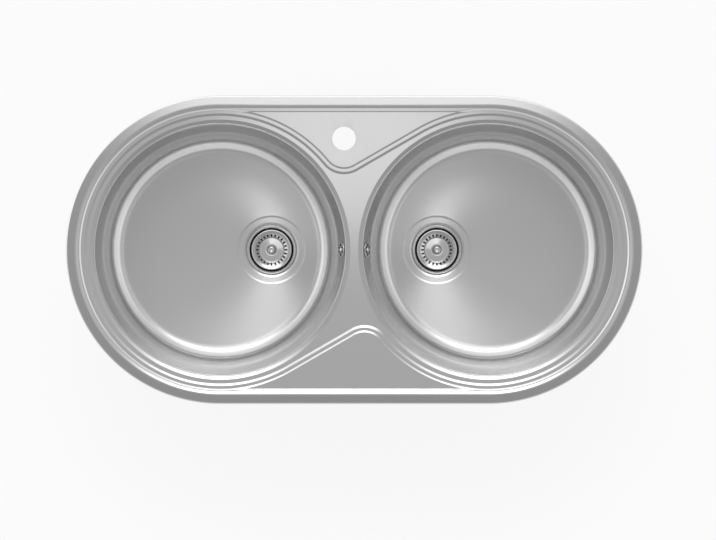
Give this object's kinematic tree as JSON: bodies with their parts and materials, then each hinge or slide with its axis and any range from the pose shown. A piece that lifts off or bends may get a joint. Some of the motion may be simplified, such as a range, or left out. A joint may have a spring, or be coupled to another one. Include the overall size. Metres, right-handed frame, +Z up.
{
  "type": "double bowl kitchen sink",
  "caption": "Inset stainless kitchen sink with round bowls, strainer baskets, overflows and fixing clips, dropped into a worktop cut-out.",
  "frame": {"origin": "middle of the sink in plan, in the plane of the worktop that the rim rests on", "axes": "+X to the right along the sink's length, +Y to the back where the tap hole is, +Z up out of the bowls"},
  "size_m": [0.86, 0.46, 0.2368],
  "materials": {
    "sink_steel": "satin brushed stainless steel",
    "polished_steel": "polished stainless steel",
    "zinc_steel": "bright zinc plated",
    "seal_rubber": "matte black",
    "damping_rubber": "matte dark grey",
    "waste_plastic": "moulded, light grey white",
    "pad_plastic": "moulded, black"
  },
  "bodies": {
    "sink": {"deck_panel": "sink_steel", "rim_seal": "seal_rubber", "clip_rails": "sink_steel", "left_strainer_cup": "polished_steel", "left_flange_gasket": "seal_rubber", "left_body_gasket": "seal_rubber", "left_waste_body": "waste_plastic", "left_clamp_screw": "polished_steel", "left_overflow_rosette": "polished_steel", "left_overflow_screw": "polished_steel", "left_overflow_gasket": "seal_rubber", "left_overflow_head": "waste_plastic", "left_overflow_pipe": "waste_plastic", "left_pipe_nut": "waste_plastic", "left_bowl": "sink_steel", "left_damping_pad": "damping_rubber", "right_strainer_cup": "polished_steel", "right_flange_gasket": "seal_rubber", "right_body_gasket": "seal_rubber", "right_waste_body": "waste_plastic", "right_clamp_screw": "polished_steel", "right_overflow_rosette": "polished_steel", "right_overflow_screw": "polished_steel", "right_overflow_gasket": "seal_rubber", "right_overflow_head": "waste_plastic", "right_overflow_pipe": "waste_plastic", "right_pipe_nut": "waste_plastic", "right_bowl": "sink_steel", "right_damping_pad": "damping_rubber", "clip_strap_1": "zinc_steel", "clip_strap_2": "zinc_steel", "clip_strap_3": "zinc_steel", "clip_strap_4": "zinc_steel", "clip_strap_5": "zinc_steel", "clip_strap_6": "zinc_steel", "clip_strap_7": "zinc_steel", "clip_strap_8": "zinc_steel"},
    "left_basket_set": {"left_basket": "polished_steel", "left_basket_knob": "polished_steel", "left_basket_plug": "seal_rubber"},
    "right_basket_set": {"right_basket": "polished_steel", "right_basket_knob": "polished_steel", "right_basket_plug": "seal_rubber"},
    "clamp_pad_1": {"clip_pad_1": "pad_plastic"},
    "clamp_screw_1": {"clip_screw_1": "zinc_steel"},
    "clamp_pad_2": {"clip_pad_2": "pad_plastic"},
    "clamp_screw_2": {"clip_screw_2": "zinc_steel"},
    "clamp_pad_3": {"clip_pad_3": "pad_plastic"},
    "clamp_screw_3": {"clip_screw_3": "zinc_steel"},
    "clamp_pad_4": {"clip_pad_4": "pad_plastic"},
    "clamp_screw_4": {"clip_screw_4": "zinc_steel"},
    "clamp_pad_5": {"clip_pad_5": "pad_plastic"},
    "clamp_screw_5": {"clip_screw_5": "zinc_steel"},
    "clamp_pad_6": {"clip_pad_6": "pad_plastic"},
    "clamp_screw_6": {"clip_screw_6": "zinc_steel"},
    "clamp_pad_7": {"clip_pad_7": "pad_plastic"},
    "clamp_screw_7": {"clip_screw_7": "zinc_steel"},
    "clamp_pad_8": {"clip_pad_8": "pad_plastic"},
    "clamp_screw_8": {"clip_screw_8": "zinc_steel"}
  },
  "joints": [
    {"name": "left_basket_lift", "type": "slide", "parent": "sink", "child": "left_basket_set", "axis": [0, 0, 1], "range_m": [0, 0.06]},
    {"name": "right_basket_lift", "type": "slide", "parent": "sink", "child": "right_basket_set", "axis": [0, 0, 1], "range_m": [0, 0.06]},
    {"name": "clamp_travel_1", "type": "slide", "parent": "sink", "child": "clamp_pad_1", "axis": [0, 0, 1], "range_m": [-0.0099, 0.008]},
    {"name": "clamp_turn_1", "type": "hinge", "parent": "clamp_pad_1", "child": "clamp_screw_1", "pos_m": [-0.11, 0.224, -0.06], "axis": [0, 0, 1], "range_deg": [-3565, 2881]},
    {"name": "clamp_travel_2", "type": "slide", "parent": "sink", "child": "clamp_pad_2", "axis": [0, 0, 1], "range_m": [-0.0099, 0.008]},
    {"name": "clamp_turn_2", "type": "hinge", "parent": "clamp_pad_2", "child": "clamp_screw_2", "pos_m": [0, 0.224, -0.06], "axis": [0, 0, 1], "range_deg": [-3565, 2881]},
    {"name": "clamp_travel_3", "type": "slide", "parent": "sink", "child": "clamp_pad_3", "axis": [0, 0, 1], "range_m": [-0.0099, 0.008]},
    {"name": "clamp_turn_3", "type": "hinge", "parent": "clamp_pad_3", "child": "clamp_screw_3", "pos_m": [0.11, 0.224, -0.06], "axis": [0, 0, 1], "range_deg": [-3565, 2881]},
    {"name": "clamp_travel_4", "type": "slide", "parent": "sink", "child": "clamp_pad_4", "axis": [0, 0, 1], "range_m": [-0.0099, 0.008]},
    {"name": "clamp_turn_4", "type": "hinge", "parent": "clamp_pad_4", "child": "clamp_screw_4", "pos_m": [-0.11, -0.224, -0.06], "axis": [0, 0, 1], "range_deg": [-3565, 2881]},
    {"name": "clamp_travel_5", "type": "slide", "parent": "sink", "child": "clamp_pad_5", "axis": [0, 0, 1], "range_m": [-0.0099, 0.008]},
    {"name": "clamp_turn_5", "type": "hinge", "parent": "clamp_pad_5", "child": "clamp_screw_5", "pos_m": [0, -0.224, -0.06], "axis": [0, 0, 1], "range_deg": [-3565, 2881]},
    {"name": "clamp_travel_6", "type": "slide", "parent": "sink", "child": "clamp_pad_6", "axis": [0, 0, 1], "range_m": [-0.0099, 0.008]},
    {"name": "clamp_turn_6", "type": "hinge", "parent": "clamp_pad_6", "child": "clamp_screw_6", "pos_m": [0.11, -0.224, -0.06], "axis": [0, 0, 1], "range_deg": [-3565, 2881]},
    {"name": "clamp_travel_7", "type": "slide", "parent": "sink", "child": "clamp_pad_7", "axis": [0, 0, 1], "range_m": [-0.0099, 0.008]},
    {"name": "clamp_turn_7", "type": "hinge", "parent": "clamp_pad_7", "child": "clamp_screw_7", "pos_m": [0.424, 0, -0.06], "axis": [0, 0, 1], "range_deg": [-3565, 2881]},
    {"name": "clamp_travel_8", "type": "slide", "parent": "sink", "child": "clamp_pad_8", "axis": [0, 0, 1], "range_m": [-0.0099, 0.008]},
    {"name": "clamp_turn_8", "type": "hinge", "parent": "clamp_pad_8", "child": "clamp_screw_8", "pos_m": [-0.424, 0, -0.06], "axis": [0, 0, 1], "range_deg": [-3565, 2881]}
  ],
  "couplings": [
    {"joint": "clamp_turn_1", "follows": "clamp_travel_1", "rad_per_m": 6283.2},
    {"joint": "clamp_turn_2", "follows": "clamp_travel_2", "rad_per_m": 6283.2},
    {"joint": "clamp_turn_3", "follows": "clamp_travel_3", "rad_per_m": 6283.2},
    {"joint": "clamp_turn_4", "follows": "clamp_travel_4", "rad_per_m": 6283.2},
    {"joint": "clamp_turn_5", "follows": "clamp_travel_5", "rad_per_m": 6283.2},
    {"joint": "clamp_turn_6", "follows": "clamp_travel_6", "rad_per_m": 6283.2},
    {"joint": "clamp_turn_7", "follows": "clamp_travel_7", "rad_per_m": 6283.2},
    {"joint": "clamp_turn_8", "follows": "clamp_travel_8", "rad_per_m": 6283.2}
  ]
}
